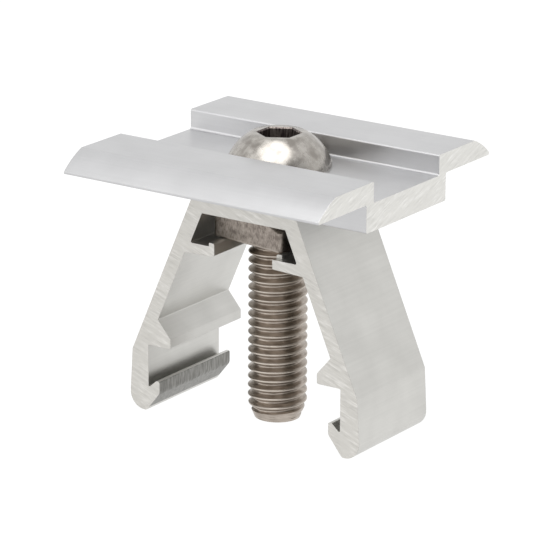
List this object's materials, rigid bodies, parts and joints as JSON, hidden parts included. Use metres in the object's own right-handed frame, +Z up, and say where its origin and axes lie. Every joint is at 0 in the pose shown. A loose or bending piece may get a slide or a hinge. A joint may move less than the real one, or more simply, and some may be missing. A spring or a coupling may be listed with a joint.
{
  "type": "solar mid clamp",
  "caption": "Mid clamp for framed solar panels: a winged cap bolted over a splayed rail bracket, drawn down by a socket head bolt in a captive square nut.",
  "frame": {"origin": "on the floor plane under the bolt, level with the bracket's feet", "axes": "+Z up along the bolt towards its head, X along the cap between the bracket's legs, Y along the rail and across the two panel frames"},
  "size_m": [0.04, 0.0406, 0.0397],
  "materials": {
    "bracket_aluminium": "mill finish extrusion with sawn faces",
    "cap_aluminium": "satin anodised extrusion with sawn ends",
    "bolt_steel": "stainless steel, polished head and rolled thread",
    "nut_steel": "dull stainless steel, pressed"
  },
  "bodies": {
    "base": {"bracket": "bracket_aluminium", "square_nut": "nut_steel"},
    "cap": {"clamp_cap": "cap_aluminium"},
    "bolt": {"bolt": "bolt_steel"}
  },
  "joints": [
    {"name": "cap_lift", "type": "slide", "parent": "base", "child": "cap", "axis": [0, 0, 1], "range_m": [0, 0.024]},
    {"name": "bolt_turn", "type": "hinge", "parent": "cap", "child": "bolt", "pos_m": [0, 0, 0.03525], "axis": [0, 0, 1], "range_deg": [0, 6912]}
  ],
  "couplings": [
    {"joint": "bolt_turn", "follows": "cap_lift", "rad_per_m": 5026.5}
  ]
}
